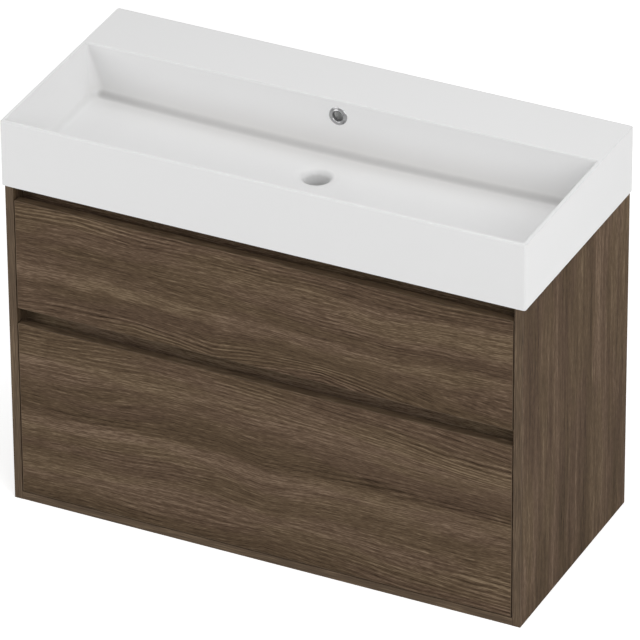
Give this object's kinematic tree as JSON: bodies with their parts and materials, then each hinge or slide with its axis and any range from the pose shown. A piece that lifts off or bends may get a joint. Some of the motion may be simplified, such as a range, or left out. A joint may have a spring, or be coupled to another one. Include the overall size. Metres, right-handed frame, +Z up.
{
  "type": "vanity unit",
  "caption": "Wall-hung bathroom vanity unit: thin-rimmed ceramic basin with a rear deck on a dark oak cabinet with handleless drawers behind finger grooves.",
  "frame": {"origin": "under the middle of the unit, at the underside of the bottom panel; the wall plane is at Y = +0.2275", "axes": "+X to the right seen from the front, +Y towards the wall, +Z up"},
  "size_m": [1.01, 0.455, 0.78],
  "materials": {
    "wood_decor": "embossed dark oak decor, matt",
    "wood_edge": "edge band in the same decor, matt",
    "white_ceramic": "white gloss glaze",
    "chrome": "polished chrome",
    "drawer_board": "light grey linen-textured melamine board",
    "runner_steel": "zinc plated sheet steel",
    "grey_plastic": "grey moulded plastic, satin",
    "beech": "bare beech",
    "zinc_cast": "zinc casting and plated screws"
  },
  "bodies": {
    "cabinet": {"left_side_panel": "wood_decor", "right_side_panel": "wood_decor", "left_side_edge_band": "wood_edge", "right_side_edge_band": "wood_edge", "bottom_panel": "wood_decor", "bottom_edge_band": "wood_edge", "top_front_rail": "wood_decor", "middle_front_rail": "wood_decor", "top_back_rail": "wood_decor", "bottom_back_rail": "wood_decor", "washbasin": "white_ceramic", "overflow_ring": "chrome", "left_wall_plate": "runner_steel", "right_wall_plate": "runner_steel", "left_hanger_housing": "zinc_cast", "right_hanger_housing": "zinc_cast", "left_hanger_hook": "runner_steel", "right_hanger_hook": "runner_steel", "hanger_cover_caps": "grey_plastic", "cam_fittings": "zinc_cast", "wooden_dowels": "beech", "runner_screws": "zinc_cast", "upper_left_cabinet_member": "runner_steel", "upper_right_cabinet_member": "runner_steel", "lower_left_cabinet_member": "runner_steel", "lower_right_cabinet_member": "runner_steel"},
    "upper_drawer": {"siphon_recess_liner": "grey_plastic", "upper_left_drawer_back": "drawer_board", "upper_right_drawer_back": "drawer_board", "upper_front": "wood_decor", "upper_front_edge_bands": "wood_edge", "upper_inner_front": "drawer_board", "upper_front_screws": "zinc_cast", "upper_drawer_bottom": "drawer_board", "upper_catch_housings": "grey_plastic", "upper_left_drawer_side": "drawer_board", "upper_left_drawer_member": "runner_steel", "upper_right_drawer_side": "drawer_board", "upper_right_drawer_member": "runner_steel"},
    "lower_drawer": {"lower_drawer_back": "drawer_board", "lower_front": "wood_decor", "lower_front_edge_bands": "wood_edge", "lower_inner_front": "drawer_board", "lower_front_screws": "zinc_cast", "lower_drawer_bottom": "drawer_board", "lower_catch_housings": "grey_plastic", "lower_left_drawer_side": "drawer_board", "lower_left_drawer_member": "runner_steel", "lower_right_drawer_side": "drawer_board", "lower_right_drawer_member": "runner_steel"},
    "upper_left_runner_beam": {"upper_left_intermediate_member": "runner_steel"},
    "upper_left_catch_lever": {"upper_left_catch_lever": "grey_plastic"},
    "upper_right_runner_beam": {"upper_right_intermediate_member": "runner_steel"},
    "upper_right_catch_lever": {"upper_right_catch_lever": "grey_plastic"},
    "lower_left_runner_beam": {"lower_left_intermediate_member": "runner_steel"},
    "lower_left_catch_lever": {"lower_left_catch_lever": "grey_plastic"},
    "lower_right_runner_beam": {"lower_right_intermediate_member": "runner_steel"},
    "lower_right_catch_lever": {"lower_right_catch_lever": "grey_plastic"}
  },
  "joints": [
    {"name": "upper_drawer_slide", "type": "slide", "parent": "cabinet", "child": "upper_drawer", "axis": [0, -1, 0], "range_m": [0, 0.34]},
    {"name": "upper_left_beam_slide", "type": "slide", "parent": "cabinet", "child": "upper_left_runner_beam", "axis": [0, -1, 0], "range_m": [0, 0.17]},
    {"name": "upper_left_catch_release", "type": "hinge", "parent": "upper_drawer", "child": "upper_left_catch_lever", "pos_m": [-0.422, -0.175, 0.41395], "axis": [0, 0, -1], "range_deg": [0, 12], "stiffness_Nm_per_rad": 0.05},
    {"name": "upper_right_beam_slide", "type": "slide", "parent": "cabinet", "child": "upper_right_runner_beam", "axis": [0, -1, 0], "range_m": [0, 0.17]},
    {"name": "upper_right_catch_release", "type": "hinge", "parent": "upper_drawer", "child": "upper_right_catch_lever", "pos_m": [0.422, -0.175, 0.41395], "axis": [0, 0, 1], "range_deg": [0, 12], "stiffness_Nm_per_rad": 0.05},
    {"name": "lower_drawer_slide", "type": "slide", "parent": "cabinet", "child": "lower_drawer", "axis": [0, -1, 0], "range_m": [0, 0.34]},
    {"name": "lower_left_beam_slide", "type": "slide", "parent": "cabinet", "child": "lower_left_runner_beam", "axis": [0, -1, 0], "range_m": [0, 0.17]},
    {"name": "lower_left_catch_release", "type": "hinge", "parent": "lower_drawer", "child": "lower_left_catch_lever", "pos_m": [-0.422, -0.175, 0.02995], "axis": [0, 0, -1], "range_deg": [0, 12], "stiffness_Nm_per_rad": 0.05},
    {"name": "lower_right_beam_slide", "type": "slide", "parent": "cabinet", "child": "lower_right_runner_beam", "axis": [0, -1, 0], "range_m": [0, 0.17]},
    {"name": "lower_right_catch_release", "type": "hinge", "parent": "lower_drawer", "child": "lower_right_catch_lever", "pos_m": [0.422, -0.175, 0.02995], "axis": [0, 0, 1], "range_deg": [0, 12], "stiffness_Nm_per_rad": 0.05}
  ],
  "couplings": [
    {"joint": "upper_left_beam_slide", "follows": "upper_drawer_slide", "ratio": 0.5},
    {"joint": "upper_right_beam_slide", "follows": "upper_drawer_slide", "ratio": 0.5},
    {"joint": "lower_left_beam_slide", "follows": "lower_drawer_slide", "ratio": 0.5},
    {"joint": "lower_right_beam_slide", "follows": "lower_drawer_slide", "ratio": 0.5}
  ]
}
